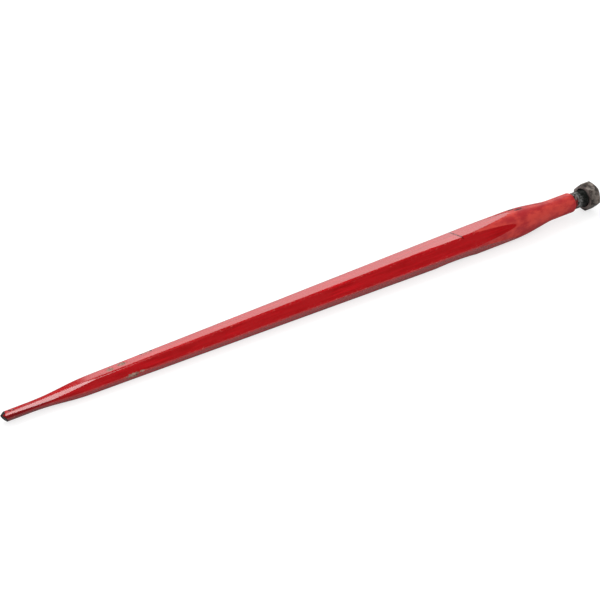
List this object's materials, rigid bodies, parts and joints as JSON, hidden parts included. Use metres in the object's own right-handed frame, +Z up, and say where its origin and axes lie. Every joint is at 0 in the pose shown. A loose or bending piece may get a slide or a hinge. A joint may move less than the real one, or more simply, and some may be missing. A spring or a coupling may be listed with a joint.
{
  "type": "bale spear",
  "caption": "Straight tapering hexagonal loader spear with a drawn blunt point, a conical shank, a round neck and a threaded stud with its hexagon nut.",
  "frame": {"origin": "on the axis of the bar, at the large end of the round taper that seats in the bush", "axes": "+X along the axis towards the stud and nut, the tip lies at -X; +Z up, square to two flats of the hexagonal bar, so one flat faces down; +Y completes the right-handed frame"},
  "size_m": [1.1, 0.049, 0.0476],
  "materials": {
    "red_enamel": "glossy red enamel over forged steel, chipped in places",
    "dark_steel": "dark oxidised steel with light rust"
  },
  "bodies": {
    "root": {"spear_bar": "red_enamel", "hex_nut": "dark_steel"}
  },
  "joints": []
}
